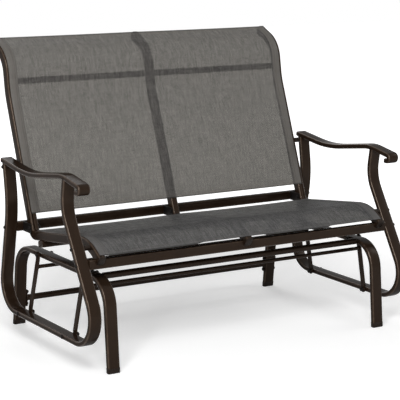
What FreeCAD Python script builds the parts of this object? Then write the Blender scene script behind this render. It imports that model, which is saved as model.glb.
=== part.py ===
import FreeCAD, Part
import math
import os
import Sketcher

Vector = FreeCAD.Vector

doc = FreeCAD.newDocument("glider_bench")

# Sizes in millimetres. X is across the bench, Y runs from front to back, Z is up.
dims = doc.addObject("Spreadsheet::Sheet", "dims")
SIZES = {
    "tube_wide": 40.0,
    "tube_deep": 16.0,
    "tube_corner": 3.8,
    "rail_wide": 24.0,
    "rail_deep": 30.0,
    "rail_corner": 4.0,
    "groove_wide": 3.2,
    "groove_deep": 9.0,
    "bar_wide": 30.0,
    "bar_deep": 20.0,
    "bar_corner": 4.0,
    "stay_wide": 20.0,
    "stay_deep": 14.0,
    "stay_corner": 3.3,
    "round_bar": 20.0,
    "tie_bar": 12.0,
    "link_wide": 20.0,
    "link_thick": 5.0,
    "link_end": 22.0,
    "pivot_bolt": 8.0,
    "pivot_bore": 8.1,
    "bush_outer": 12.0,
    "bush_flange": 16.0,
    "flange_thick": 1.5,
    "frame_bolt": 6.0,
    "head_wide": 14.0,
    "small_head": 12.0,
    "spacer_outer": 16.0,
    "sling_thick": 1.2,
    "hoop_centre": 492.0,
    "loop_centre": 567.0,
    "rail_centre": 515.0,
    "pivot_top": 269.0,
    "pivot_low": 89.0,
    "pivot_front": -147.0,
    "pivot_rear": 145.0,
    "middle_shift": -66.55,
}
for row, (alias, value) in enumerate(SIZES.items(), start=1):
    dims.set("A%d" % row, alias.replace("_", " "))
    dims.set("B%d" % row, str(value))
    dims.setAlias("B%d" % row, alias)
doc.recompute()


def size(alias):
    return float(dims.get(alias))


SHIFT = size("middle_shift")
TUBE_HALF = size("tube_deep") / 2
RAIL_HALF = size("rail_deep") / 2
HOOP_INNER = size("hoop_centre") - size("tube_wide") / 2
HOOP_OUTER = size("hoop_centre") + size("tube_wide") / 2
LOOP_INNER = size("loop_centre") - size("tube_wide") / 2
LOOP_OUTER = size("loop_centre") + size("tube_wide") / 2
RAIL_INNER = size("rail_centre") - size("rail_wide") / 2
RAIL_OUTER = size("rail_centre") + size("rail_wide") / 2
SIDES = {"left": -1, "right": 1}
BEND_STEP = 9.0

nodes = {}


def keep(node, thing):
    nodes.setdefault(node, []).append(thing)
    return thing


# Bent paths. A path is a list of corners (y, z, bend radius) in a plane of constant X.
def path_points(corners):
    """Follows the corners, each bend as short straight steps that touch its arc from outside."""
    points = [Vector(y + SHIFT, z, 0) for y, z, r in corners]
    route = [points[0]]
    for i in range(1, len(points) - 1):
        back = (points[i - 1] - points[i]).normalize()
        ahead = (points[i + 1] - points[i]).normalize()
        turn = math.pi - back.getAngle(ahead)
        radius = corners[i][2]
        steps = max(1, round(math.degrees(turn) / BEND_STEP))
        start = points[i] + back * (radius * math.tan(turn / 2))
        heading = math.atan2(-back.y, -back.x)
        sense = 1 if back.x * ahead.y - back.y * ahead.x < 0 else -1
        piece = radius * math.tan(turn / steps / 2)
        spot_now = start
        for k in range(steps):
            here = heading + sense * turn * k / steps
            there = heading + sense * turn * (k + 1) / steps
            spot_now = spot_now + Vector(math.cos(here), math.sin(here), 0) * piece
            route.append(spot_now)
            spot_now = spot_now + Vector(math.cos(there), math.sin(there), 0) * piece
    route.append(points[-1])
    return route


def offset_corners(corners, distance):
    """Moves a bent line sideways, to the left of its direction of travel."""
    points = [Vector(y, z, 0) for y, z, r in corners]
    lines = []
    for a, b in zip(points[:-1], points[1:]):
        along = (b - a).normalize()
        side = Vector(-along.y, along.x, 0)
        lines.append((a + side * distance, along, side))
    moved = [lines[0][0]]
    for (p, d, s), (q, e, f) in zip(lines[:-1], lines[1:]):
        det = d.x * (-e.y) + e.x * d.y
        gap = q - p
        k = (gap.x * (-e.y) + e.x * gap.y) / det
        moved.append(p + d * k)
    moved.append(points[-1] + lines[-1][2] * distance)
    result = []
    for i, point in enumerate(moved):
        radius = corners[i][2]
        if 0 < i < len(moved) - 1:
            d = lines[i - 1][1]
            e = lines[i][1]
            turn = d.x * e.y - d.y * e.x
            radius = radius - distance if turn > 0 else radius + distance
        result.append((point.x, point.y, radius))
    return result


def path_sketch(name, corners, x):
    sketch = doc.addObject("Sketcher::SketchObject", name)
    turn = FreeCAD.Matrix(0, 0, 1, x, 1, 0, 0, 0, 0, 1, 0, 0, 0, 0, 0, 1)
    sketch.Placement = FreeCAD.Placement(turn)
    route = path_points(corners)
    for a, b in zip(route[:-1], route[1:]):
        sketch.addGeometry(Part.LineSegment(a, b), False)
    return sketch


def start_frame(corners, x):
    a = corners[0]
    b = corners[1]
    along = Vector(0, b[0] - a[0], b[1] - a[1]).normalize()
    across = Vector(1, 0, 0)
    side = along.cross(across)
    m = FreeCAD.Matrix(across.x, side.x, along.x, x,
                       across.y, side.y, along.y, a[0] + SHIFT,
                       across.z, side.z, along.z, a[1],
                       0, 0, 0, 1)
    return FreeCAD.Placement(m)


def box_sketch(name, wide, deep, corner, place):
    """A rectangle about its own origin. A slant at each corner stands for its round."""
    sketch = doc.addObject("Sketcher::SketchObject", name)
    sketch.Placement = place
    hw = size(wide) / 2
    hd = size(deep) / 2
    cut = size(corner)
    ring = [(-hw + cut, -hd), (hw - cut, -hd), (hw, -hd + cut), (hw, hd - cut),
            (hw - cut, hd), (-hw + cut, hd), (-hw, hd - cut), (-hw, -hd + cut)]
    points = [Vector(px, py, 0) for px, py in ring]
    for i in range(8):
        sketch.addGeometry(Part.LineSegment(points[i], points[(i + 1) % 8]), False)
    for i in range(8):
        sketch.addConstraint(Sketcher.Constraint("Coincident", i, 2, (i + 1) % 8, 1))
    for i in range(4):
        sketch.addConstraint(Sketcher.Constraint("Symmetric", i, 1, i + 4, 1, -1, 1))
    sketch.addConstraint(Sketcher.Constraint("Horizontal", 0))
    sketch.addConstraint(Sketcher.Constraint("Vertical", 2))
    spans = [
        ("DistanceX", (6, 1, 2, 1), 2 * hw, "dims." + wide),
        ("DistanceY", (1, 1, 5, 1), 2 * hd, "dims." + deep),
        ("DistanceX", (1, 1, 1, 2), cut, "dims." + corner),
        ("DistanceY", (1, 1, 1, 2), cut, "dims." + corner),
        ("DistanceX", (3, 2, 3, 1), cut, "dims." + corner),
        ("DistanceY", (3, 1, 3, 2), cut, "dims." + corner),
    ]
    for kind, ends, value, text in spans:
        number = sketch.addConstraint(Sketcher.Constraint(kind, *ends, value))
        sketch.setExpression("Constraints[%d]" % number, text)
    return sketch


def sweep(name, section, path):
    doc.recompute()
    tube = doc.addObject("Part::Sweep", name)
    tube.Sections = [section]
    tube.Spine = (path, ["Edge%d" % (i + 1) for i in range(len(path.Shape.Edges))])
    tube.Solid = True
    tube.Frenet = False
    tube.Transition = "Right corner"
    return tube


def bent_tube(name, corners, x, wide="tube_wide", deep="tube_deep", corner="tube_corner"):
    path = path_sketch(name + "_path", corners, x)
    section = box_sketch(name + "_section", wide, deep, corner, start_frame(corners, x))
    return sweep(name + "_sweep", section, path)


# Plain pieces
ROUND_SIDES = 16
HEAD_SIDES = 12
SHANK_SIDES = 8
HOLE_GAP = 0.05
# The corners of a hole whose flats clear a round shank stand this much outside the pivot bolt
ROUND_GAP = (size("pivot_bolt") / 2 + HOLE_GAP) / math.cos(math.pi / SHANK_SIDES) - size("pivot_bolt") / 2
X_UP = FreeCAD.Rotation(Vector(0, 0, 1), Vector(1, 0, 0))
X_DOWN = FreeCAD.Rotation(Vector(0, 0, 1), Vector(-1, 0, 0))


def rod(name, x, y, z, length, alias, direction=1):
    """A round bar that starts at x and runs along X."""
    item = doc.addObject("Part::Cylinder", name)
    item.Height = length
    item.setExpression("Radius", "dims.%s / 2" % alias)
    turn = X_UP if direction > 0 else X_DOWN
    item.Placement = FreeCAD.Placement(Vector(x, y + SHIFT, z), turn)
    return item


def prism(name, alias, length, sides, grow=0.0, low=0.0):
    """A round thing with few sides, along Z. Its corners lie on the circle of the alias."""
    item = doc.addObject("Part::Prism", name)
    item.Polygon = sides
    item.setExpression("Circumradius", "dims.%s / 2 + %g" % (alias, grow))
    item.Height = length
    item.Placement = FreeCAD.Placement(Vector(0, 0, low), FreeCAD.Rotation())
    return item


def drill(name, x, y, z, length, alias, direction=1, grow=HOLE_GAP, sides=SHANK_SIDES):
    """A round thing with few sides that starts at x and runs along X, such as a bolt hole."""
    item = prism(name, alias, length, sides, grow)
    turn = X_UP if direction > 0 else X_DOWN
    item.Placement = FreeCAD.Placement(Vector(x, y + SHIFT, z), turn)
    return item


def block(name, x, y, z, dx, dy, dz):
    item = doc.addObject("Part::Box", name)
    item.Length = dx
    item.Width = dy
    item.Height = dz
    item.Placement = FreeCAD.Placement(Vector(x, y + SHIFT, z), FreeCAD.Rotation())
    return item


def joined(name, parts):
    if len(parts) == 1:
        return parts[0]
    item = doc.addObject("Part::MultiFuse", name)
    item.Shapes = parts
    return item


def minus(name, base, tools):
    item = doc.addObject("Part::Cut", name)
    item.Base = base
    item.Tool = joined(name + "_tools", tools)
    return item


def extruded(name, base, along, length):
    item = doc.addObject("Part::Extrusion", name)
    item.Base = base
    item.DirMode = "Custom"
    item.Dir = along
    item.LengthFwd = length
    item.Solid = True
    return item


def bar_frame(x, y, z, tilt):
    """The wide side of the section is vertical at no tilt, and the section faces along X."""
    t = math.radians(tilt)
    m = FreeCAD.Matrix(0, 0, 1, x,
                       -math.sin(t), -math.cos(t), 0, y + SHIFT,
                       math.cos(t), -math.sin(t), 0, z,
                       0, 0, 0, 1)
    return FreeCAD.Placement(m)


def cross_bar(name, half_length, y, z, sizes, tilt=0.0):
    """A box tube along X."""
    section = box_sketch(name + "_section", *sizes, bar_frame(-half_length, y, z, tilt))
    return extruded(name + "_body", section, Vector(1, 0, 0), 2 * half_length)


# Instances of one fastener
def copies(node, master, places):
    """Puts one master piece at several places and keeps them together in one node."""
    items = []
    for i, place in enumerate(places):
        item = doc.addObject("App::Link", "%s_%d" % (node, i + 1))
        item.LinkedObject = master
        item.LinkTransform = False
        item.Placement = place
        items.append(item)
    for item in items:
        keep(node, item)


def spot(x, y, z, side):
    """The place of a fastener whose head is at x, and whose shank runs inward from that side."""
    turn = X_DOWN if side > 0 else X_UP
    return FreeCAD.Placement(Vector(x, y + SHIFT, z), turn)


def bolt(name, shank_alias, length, head_alias, head_high):
    """Head below the origin and shank above it, both along Z."""
    overlap = 0.5
    if shank_alias == "pivot_bolt":
        shank = doc.addObject("Part::Cylinder", name + "_shank")
        shank.Height = length + overlap
        shank.setExpression("Radius", "dims.pivot_bolt / 2")
        shank.Placement = FreeCAD.Placement(Vector(0, 0, -overlap), FreeCAD.Rotation())
    else:
        shank = prism(name + "_shank", shank_alias, length + overlap, SHANK_SIDES, low=-overlap)
    head = prism(name + "_head", head_alias, head_high, HEAD_SIDES, low=-head_high)
    return joined(name, [shank, head])


def nut(name, bore_alias, across, high):
    body = doc.addObject("Part::Prism", name + "_hexagon")
    body.Polygon = 6
    body.Circumradius = across / math.sqrt(3)
    body.Height = high
    grow = ROUND_GAP if bore_alias == "pivot_bolt" else HOLE_GAP
    return minus(name, body, [prism(name + "_hole", bore_alias, high + 2, SHANK_SIDES, grow, -1)])


# Base hoops: outer line of the bend, from the front foot over the top to the rear foot
HOOP_LINE = [(-294.5, 6, 0), (-266.2, 276, 92), (315.1, 276, 92), (338, 6, 0)]
hoop_path = offset_corners(HOOP_LINE, -TUBE_HALF)
FRONT_CROSS = (-188.0, 268.2)
REAR_CROSS = (323.2, 85.3)
FLANGE_REACH = 20.0
for side, sign in SIDES.items():
    x = sign * size("hoop_centre")
    raw = bent_tube("base_hoop_" + side, hoop_path, x)
    holes = []
    spots = [
        (size("pivot_front"), size("pivot_top"), "pivot_bolt"),
        (size("pivot_rear"), size("pivot_top"), "pivot_bolt"),
        (FRONT_CROSS[0], FRONT_CROSS[1], "frame_bolt"),
        (REAR_CROSS[0] - 1.7, REAR_CROSS[1] + FLANGE_REACH, "frame_bolt"),
        (REAR_CROSS[0] + 1.7, REAR_CROSS[1] - FLANGE_REACH, "frame_bolt"),
    ]
    for i, (y, z, alias) in enumerate(spots):
        grow = ROUND_GAP if alias == "pivot_bolt" else HOLE_GAP
        holes.append(drill("hoop_hole_%s_%d" % (side, i), x - 30, y, z, 60, alias, grow=grow))
    keep("base_hoop_" + side, minus("base_hoop_" + side + "_drilled", raw, holes))

# Foot caps: a sole under each tube end, with a collar round it
for side, sign in SIDES.items():
    x = sign * size("hoop_centre")
    for end, (y, lean) in {"front": (-287.0, 5.98), "rear": (330.4, -4.85)}.items():
        name = "foot_cap_%s_%s" % (side, end)
        hw = size("tube_wide") / 2 + 1.2
        hd = TUBE_HALF + 1.2
        wire_points = [(-hw + 5, -hd), (hw - 5, -hd), (hw, -hd + 5), (hw, hd - 5),
                       (hw - 5, hd), (-hw + 5, hd), (-hw, hd - 5), (-hw, -hd + 5)]
        outline = doc.addObject("Part::Feature", name + "_outline")
        ring = [Vector(x + px, y + SHIFT + py, 0) for px, py in wire_points]
        outline.Shape = Part.Face(Part.makePolygon(ring + [ring[0]]))
        sole = doc.addObject("Part::Extrusion", name + "_sole")
        sole.Base = outline
        sole.DirMode = "Custom"
        sole.Dir = Vector(0, math.sin(math.radians(lean)), math.cos(math.radians(lean)))
        sole.LengthFwd = 16
        sole.Solid = True
        keep("foot_caps", minus(name, sole, [nodes["base_hoop_" + side][0]]))

# Base crossbars
front_rod = rod("front_cross_rod", -HOOP_INNER, FRONT_CROSS[0], FRONT_CROSS[1], 2 * HOOP_INNER, "round_bar")
front_taps = []
for side, sign in SIDES.items():
    front_taps.append(drill("front_cross_tap_" + side, sign * HOOP_INNER, FRONT_CROSS[0], FRONT_CROSS[1],
                            20, "frame_bolt", -sign))
keep("base_front_crossbar", minus("base_front_crossbar", front_rod, front_taps))

rear_rod = rod("rear_cross_rod", -HOOP_INNER + 3, REAR_CROSS[0], REAR_CROSS[1], 2 * HOOP_INNER - 6, "round_bar")
plates = []
plate_holes = []
for side, sign in SIDES.items():
    x0 = -HOOP_INNER if sign < 0 else HOOP_INNER - 3
    plates.append(block("rear_flange_" + side, x0, REAR_CROSS[0] - 10, REAR_CROSS[1] - 28, 3, 20, 56))
    for i, (dy, dz) in enumerate([(-1.7, FLANGE_REACH), (1.7, -FLANGE_REACH)]):
        plate_holes.append(drill("flange_hole_%s_%d" % (side, i), sign * HOOP_INNER - 10, REAR_CROSS[0] + dy,
                                 REAR_CROSS[1] + dz, 20, "frame_bolt"))
keep("base_rear_crossbar", minus("base_rear_crossbar", joined("rear_cross_joined", [rear_rod] + plates),
                                 plate_holes))

# Swing frames: cranked flat links, a tie bar and plastic bushes
FIT_GAP = 0.3
LINK_TOP_IN = HOOP_OUTER + FIT_GAP + size("flange_thick")
LINK_LOW_OUT = LOOP_INNER - FIT_GAP - size("flange_thick")
LINK_LOW_IN = LINK_LOW_OUT - size("link_thick")
CRANK_HIGH = 256.0
CRANK_LOW = 102.0
TIE_HIGH = 231.0


def link(name, sign, y):
    top = size("pivot_top") + size("link_end") / 2
    low = size("pivot_low") - size("link_end") / 2
    thick = size("link_thick")
    steps = [(LINK_TOP_IN, top), (LINK_TOP_IN, CRANK_HIGH), (LINK_LOW_IN, CRANK_LOW), (LINK_LOW_IN, low)]
    inner = [Vector(sign * px, 0, pz) for px, pz in steps]
    outer = [Vector(sign * (px + thick), 0, pz) for px, pz in reversed(steps)]
    ring = inner + outer
    strip = doc.addObject("Part::Feature", name + "_side")
    strip.Shape = Part.Face(Part.makePolygon(ring + [ring[0]]))
    wide = size("link_wide")
    strip.Placement = FreeCAD.Placement(Vector(0, y + SHIFT - wide / 2, 0), FreeCAD.Rotation())
    plate = doc.addObject("Part::Extrusion", name + "_plate")
    plate.Base = strip
    plate.DirMode = "Custom"
    plate.Dir = Vector(0, 1, 0)
    plate.LengthFwd = wide
    plate.Solid = True
    body_x = 400 if sign > 0 else -600
    ends = [drill(name + "_end_" + tag, body_x, y, size("pivot_" + tag), 200, "link_end", sides=ROUND_SIDES)
            for tag in ("top", "low")]
    body = block(name + "_keep", body_x, y - 15, size("pivot_low"), 200, 30,
                 size("pivot_top") - size("pivot_low"))
    outline = joined(name + "_outline", ends + [body])
    trimmed = doc.addObject("Part::Common", name + "_trimmed")
    trimmed.Base = plate
    trimmed.Tool = outline
    holes = []
    for tag in ("top", "low"):
        holes.append(drill("%s_hole_%s" % (name, tag), body_x, y, size("pivot_" + tag), 200, "bush_outer",
                           grow=0.0))
    return minus(name, trimmed, holes)


def bush(name):
    """A flanged bush along Z: the lower flange starts at zero."""
    thick = size("link_thick")
    rim = size("flange_thick")
    barrel = prism(name + "_barrel", "bush_outer", thick + 2 * rim, SHANK_SIDES)
    low = prism(name + "_rim_low", "bush_flange", rim, HEAD_SIDES)
    high = prism(name + "_rim_high", "bush_flange", rim, HEAD_SIDES, low=thick + rim)
    bore = doc.addObject("Part::Cylinder", name + "_bore")
    bore.setExpression("Radius", "dims.pivot_bore / 2")
    bore.Height = thick + 2 * rim + 2
    bore.Placement = FreeCAD.Placement(Vector(0, 0, -1), FreeCAD.Rotation())
    return minus(name, joined(name + "_body", [barrel, low, high]), [bore])


bush_master = bush("pivot_bush")
for frame, y in {"front": size("pivot_front"), "rear": size("pivot_rear")}.items():
    places = []
    cutters = []
    for side, sign in SIDES.items():
        node = "%s_link_%s" % (frame, side)
        cutters.append(keep(node, link(node, sign, y)))
        places.append(FreeCAD.Placement(Vector(sign * (HOOP_OUTER + FIT_GAP), y + SHIFT, size("pivot_top")),
                                        X_UP if sign > 0 else X_DOWN))
        places.append(FreeCAD.Placement(Vector(sign * (LOOP_INNER - FIT_GAP), y + SHIFT, size("pivot_low")),
                                        X_DOWN if sign > 0 else X_UP))
    copies("%s_bushes" % frame, bush_master, places)
    tie_half = LINK_TOP_IN + 8
    tie = drill("%s_tie_rod" % frame, -tie_half, y, TIE_HIGH, 2 * tie_half, "tie_bar", grow=0.0,
                sides=ROUND_SIDES)
    keep("%s_tie_bar" % frame, minus("%s_tie_bar" % frame, tie, cutters))

# Armrests: top line, rear end to the curl at the front
ARM_LINE = [
    (254.0, 564.0, 0), (85.0, 542.5, 500), (-140.0, 576.5, 170),
    (-254.0, 557.5, 17.4), (-250.5, 526.2, 17.4), (-226.0, 525.2, 0),
]
arm_path = offset_corners(ARM_LINE, TUBE_HALF)
armrests = {}
for side, sign in SIDES.items():
    armrests[side] = bent_tube("armrest_" + side, arm_path, sign * size("loop_centre"))
    keep("armrest_" + side, armrests[side])


def end_cap(node, name, corners, x, sizes, thick):
    """A cap on the first end of a path."""
    place = start_frame(corners, x)
    along = place.Rotation.multVec(Vector(0, 0, 1))
    keep(node, extruded(name, box_sketch(name + "_section", *sizes, place), along * -1, thick))


TUBE = ("tube_wide", "tube_deep", "tube_corner")
RAIL = ("rail_wide", "rail_deep", "rail_corner")
BAR = ("bar_wide", "bar_deep", "bar_corner")
STAY = ("stay_wide", "stay_deep", "stay_corner")
for side, sign in SIDES.items():
    x = sign * size("loop_centre")
    end_cap("armrest_plugs", "arm_plug_rear_" + side, arm_path, x, TUBE, 3.0)
    end_cap("armrest_plugs", "arm_plug_front_" + side, list(reversed(arm_path)), x, TUBE, 3.0)

# Side loops of the seat: outer line, from the front post along the ground side to the rear post
LOOP_LINE = [
    (-163.0, 565.0, 0), (-149.3, 473.6, 115), (-392.1, 80.0, 93),
    (288.4, 80.0, 95), (226.2, 414.5, 340), (248.6, 552.0, 0),
]
loop_path = offset_corners(LOOP_LINE, TUBE_HALF)
BACK_BAR = (231.0, 347.0)
FRONT_BAR = (-236.0, 320.0)
TOP_TIE = (241.0, 537.0)
TOP_TIE_HOLD = 6.0
FRONT_TIE = (-207.5, 364.0)
for side, sign in SIDES.items():
    x = sign * size("loop_centre")
    raw = bent_tube("arm_loop_" + side, loop_path, x)
    holes = []
    for i, (y, z) in enumerate([BACK_BAR, FRONT_BAR, TOP_TIE, FRONT_TIE]):
        holes.append(drill("loop_hole_%s_%d" % (side, i), x - 30, y, z, 60, "frame_bolt"))
    for tag in ("front", "rear"):
        holes.append(drill("loop_pivot_%s_%s" % (side, tag), x - 30, size("pivot_" + tag), size("pivot_low"), 60,
                           "pivot_bolt", grow=ROUND_GAP))
    keep("arm_loop_" + side, minus("arm_loop_" + side + "_drilled", raw, holes + [armrests[side]]))

# Sling rails: line of the seat surface, front end to the rolled top
SEAT_LINE = [
    (-264.0, 345.0, 0), (-190.0, 392.0, 150), (158.0, 344.5, 10),
    (318.0, 752.0, 200), (340.0, 874.5, 104), (436.0, 917.0, 0),
]
rail_path = offset_corners(SEAT_LINE, -RAIL_HALF)


def along_seat(first, y):
    """The point at that y on the straight that starts at one corner of the seat line."""
    a = SEAT_LINE[first]
    b = SEAT_LINE[first + 1]
    return (y, a[1] + (b[1] - a[1]) * (y - a[0]) / (b[0] - a[0]), 0)


GROOVE_X = 518.4
groove_path = offset_corners(SEAT_LINE, -size("groove_deep") / 2 + 1.0)

back_solid = cross_bar("lower_back_crossbar", LOOP_INNER, *BACK_BAR, BAR)
front_solid = cross_bar("front_seat_crossbar", LOOP_INNER, *FRONT_BAR, BAR)
stay_solid = cross_bar("upper_back_crossbar", RAIL_INNER, 336.5, 788.0, STAY, 10.0)
SEAT_SLOPE = math.atan2(47.5, 348.0)
UNDER_REACH = size("rail_deep") + size("bar_deep") / 2
under_spot = along_seat(1, 112.0)
under_y = under_spot[0] - UNDER_REACH * math.sin(SEAT_SLOPE)
under_z = under_spot[1] - UNDER_REACH * math.cos(SEAT_SLOPE)
under_solid = cross_bar("rear_seat_crossbar", RAIL_OUTER, under_y, under_z, BAR,
                        -90.0 - math.degrees(SEAT_SLOPE))

taps = {}
for bar, (y, z) in {"back": BACK_BAR, "front": FRONT_BAR}.items():
    taps[bar] = []
    for side, sign in SIDES.items():
        taps[bar].append(drill("%s_tap_%s" % (bar, side), sign * LOOP_INNER, y, z, 30, "frame_bolt", -sign))
keep("lower_back_crossbar", minus("lower_back_bar", back_solid, taps["back"]))
keep("front_seat_crossbar", minus("front_seat_bar", front_solid, taps["front"]))
keep("upper_back_crossbar", stay_solid)
keep("rear_seat_crossbar", under_solid)

SADDLE_BOLT = (173.0, 351.0)
RAILS = {"left": -size("rail_centre"), "centre": 0.0, "right": size("rail_centre")}
for tag, x in RAILS.items():
    tube = bent_tube("sling_rail_" + tag, rail_path, x, *RAIL)
    tools = [front_solid, drill("saddle_hole_" + tag, x - 30, *SADDLE_BOLT, 60, "frame_bolt")]
    if tag == "centre":
        tools.append(stay_solid)
    else:
        sign = SIDES[tag]
        slot_place = start_frame(groove_path, sign * GROOVE_X)
        slot = doc.addObject("Part::Plane", "groove_section_" + tag)
        slot.Length = size("groove_wide")
        slot.Width = size("groove_deep") + 2.0
        shift = slot_place.Rotation.multVec(Vector(-slot.Length.Value / 2, -slot.Width.Value / 2, 0))
        slot.Placement = FreeCAD.Placement(slot_place.Base + shift, slot_place.Rotation)
        groove_route = path_sketch("groove_path_" + tag, groove_path, sign * GROOVE_X)
        tools.append(sweep("groove_" + tag, slot, groove_route))
        tools.append(drill("rail_tap_" + tag, sign * RAIL_OUTER, *TOP_TIE, TOP_TIE_HOLD, "frame_bolt", -sign))
        tools.append(drill("rail_hole_" + tag, x - 30, *FRONT_TIE, 60, "frame_bolt"))
    keep("sling_rail_" + tag, minus("sling_rail_" + tag + "_cut", tube, tools))
    end_cap("rail_end_caps", "rail_cap_front_" + tag, rail_path, x, RAIL, 4.0)
    end_cap("rail_end_caps", "rail_cap_top_" + tag, list(reversed(rail_path)), x, RAIL, 4.0)

# Saddles that carry the rails on the lower back crossbar
half = size("rail_wide") / 2
for tag, x in RAILS.items():
    plates = []
    front = BACK_BAR[0] - size("bar_deep") / 2
    for s in (-1, 1):
        x0 = x + half if s > 0 else x - half - 3
        plates.append(block("saddle_%s_plate_%d" % (tag, s), x0, 166, 333, 3, front - 166, 30))
    plates.append(block("saddle_%s_web" % tag, x - half - 3, front - 3, 333, 2 * half + 6, 3, 30))
    hole = drill("saddle_%s_bore" % tag, x - 30, *SADDLE_BOLT, 60, "frame_bolt")
    keep("rail_saddles", minus("saddle_" + tag, joined("saddle_%s_body" % tag, plates), [hole]))

# Spacers between the side loops and the rails
for side, sign in SIDES.items():
    for i, (y, z) in enumerate([TOP_TIE, FRONT_TIE]):
        wall = prism("spacer_%s_%d_wall" % (side, i), "spacer_outer", LOOP_INNER - RAIL_OUTER, HEAD_SIDES)
        wall.Placement = FreeCAD.Placement(Vector(sign * RAIL_OUTER, y + SHIFT, z), X_UP if sign > 0 else X_DOWN)
        bore = drill("spacer_%s_%d_bore" % (side, i), sign * (RAIL_OUTER - 5), y, z, 40, "frame_bolt", sign)
        keep("rail_spacers", minus("spacer_%s_%d" % (side, i), wall, [bore]))

# Slings: a flat sheet held by a lip in the groove of each side rail
BACK_SLING = [along_seat(2, 177.4)] + SEAT_LINE[3:5] + [along_seat(4, 434.0)]
SEAT_SLING = [along_seat(0, -262.5), SEAT_LINE[1], along_seat(1, 146.0)]
LIP_LOW = -5.4
SPLINE_LOW = -7.0


def sling(node, corners):
    thick = size("sling_thick")
    edge = GROOVE_X + thick / 2
    ring = [(-edge, LIP_LOW), (-edge + thick, LIP_LOW), (-edge + thick, 0), (edge - thick, 0),
            (edge - thick, LIP_LOW), (edge, LIP_LOW), (edge, thick), (-edge, thick)]
    frame = start_frame(corners, 0)
    turned = [frame.multVec(Vector(px, -py, 0)) for px, py in ring]
    section = doc.addObject("Part::Feature", node + "_section")
    section.Shape = Part.makePolygon(turned + [turned[0]])
    route = path_sketch(node + "_path", corners, 0)
    keep(node, sweep(node + "_sheet", section, route))


sling("back_sling", BACK_SLING)
sling("seat_sling", SEAT_SLING)
for tag, corners in {"back": BACK_SLING, "seat": SEAT_SLING}.items():
    for side, sign in SIDES.items():
        low = offset_corners(corners, SPLINE_LOW)
        route = path_sketch("spline_path_%s_%s" % (tag, side), low, sign * GROOVE_X)
        ring = doc.addObject("Part::RegularPolygon", "spline_section_%s_%s" % (tag, side))
        ring.Polygon = 4
        ring.Circumradius = 1.5
        ring.Placement = start_frame(low, sign * GROOVE_X)
        keep(tag + "_splines", sweep("spline_%s_%s" % (tag, side), ring, route))

# Fasteners
pivot_length = HOOP_OUTER - HOOP_INNER + size("link_thick") + 2 * size("flange_thick") + 2 * FIT_GAP + 8.5
pivot_master = bolt("pivot_bolt_master", "pivot_bolt", pivot_length, "head_wide", 5.0)
pivot_nut = nut("pivot_nut_master", "pivot_bolt", 13.0, 6.5)
top_heads = HOOP_OUTER + 2 * FIT_GAP + size("link_thick") + 2 * size("flange_thick")
low_nuts = LOOP_INNER - 2 * FIT_GAP - size("link_thick") - 2 * size("flange_thick")
PIVOTS = [size("pivot_front"), size("pivot_rear")]
copies("upper_pivot_bolts", pivot_master,
       [spot(s * top_heads, y, size("pivot_top"), s) for s in SIDES.values() for y in PIVOTS])
copies("upper_pivot_nuts", pivot_nut,
       [spot(s * HOOP_INNER, y, size("pivot_top"), s) for s in SIDES.values() for y in PIVOTS])
copies("lower_pivot_bolts", pivot_master,
       [spot(s * LOOP_OUTER, y, size("pivot_low"), s) for s in SIDES.values() for y in PIVOTS])
copies("lower_pivot_nuts", pivot_nut,
       [spot(s * low_nuts, y, size("pivot_low"), s) for s in SIDES.values() for y in PIVOTS])

bar_bolt = bolt("bar_bolt_master", "frame_bolt", size("tube_wide") + 12.0, "small_head", 4.5)
tie_bolt = bolt("tie_bolt_master", "frame_bolt", LOOP_OUTER - RAIL_INNER + 7.0, "small_head", 4.5)
top_tie_bolt = bolt("top_tie_bolt_master", "frame_bolt", LOOP_OUTER - RAIL_OUTER + TOP_TIE_HOLD - 0.5,
                    "small_head", 4.5)
saddle_bolt = bolt("saddle_bolt_master", "frame_bolt", size("rail_wide") + 6.0 + 7.0, "small_head", 4.5)
cross_bolt = bolt("cross_bolt_master", "frame_bolt", size("tube_wide") + 3.0 + 7.0, "small_head", 4.5)
frame_nut = nut("frame_nut_master", "frame_bolt", 10.0, 5.0)
copies("bar_bolts", bar_bolt,
       [spot(s * LOOP_OUTER, y, z, s) for s in SIDES.values() for y, z in (BACK_BAR, FRONT_BAR)])
copies("front_spacer_bolts", tie_bolt, [spot(s * LOOP_OUTER, *FRONT_TIE, s) for s in SIDES.values()])
copies("top_spacer_bolts", top_tie_bolt, [spot(s * LOOP_OUTER, *TOP_TIE, s) for s in SIDES.values()])
copies("spacer_nuts", frame_nut, [spot(s * RAIL_INNER, *FRONT_TIE, s) for s in SIDES.values()])
saddle_side = {"left": -1, "centre": 1, "right": 1}
copies("saddle_bolts", saddle_bolt,
       [spot(x + saddle_side[tag] * (half + 3), *SADDLE_BOLT, saddle_side[tag]) for tag, x in RAILS.items()])
copies("saddle_nuts", frame_nut,
       [spot(x - saddle_side[tag] * (half + 3), *SADDLE_BOLT, saddle_side[tag]) for tag, x in RAILS.items()])
flange_spots = [(REAR_CROSS[0] - 1.7, REAR_CROSS[1] + FLANGE_REACH),
                (REAR_CROSS[0] + 1.7, REAR_CROSS[1] - FLANGE_REACH)]
copies("rear_cross_bolts", cross_bolt,
       [spot(s * HOOP_OUTER, y, z, s) for s in SIDES.values() for y, z in flange_spots])
copies("rear_cross_nuts", frame_nut,
       [spot(s * (HOOP_INNER - 3.0), y, z, s) for s in SIDES.values() for y, z in flange_spots])
copies("front_cross_bolts", bar_bolt, [spot(s * HOOP_OUTER, *FRONT_CROSS, s) for s in SIDES.values()])

doc.recompute()

# Checks and export
faults = [o.Name for o in doc.Objects if "Invalid" in o.State or "Error" in o.State]
if faults:
    raise RuntimeError("objects with faults: " + ", ".join(faults))
os.makedirs("parts", exist_ok=True)
whole = FreeCAD.BoundBox()

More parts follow.
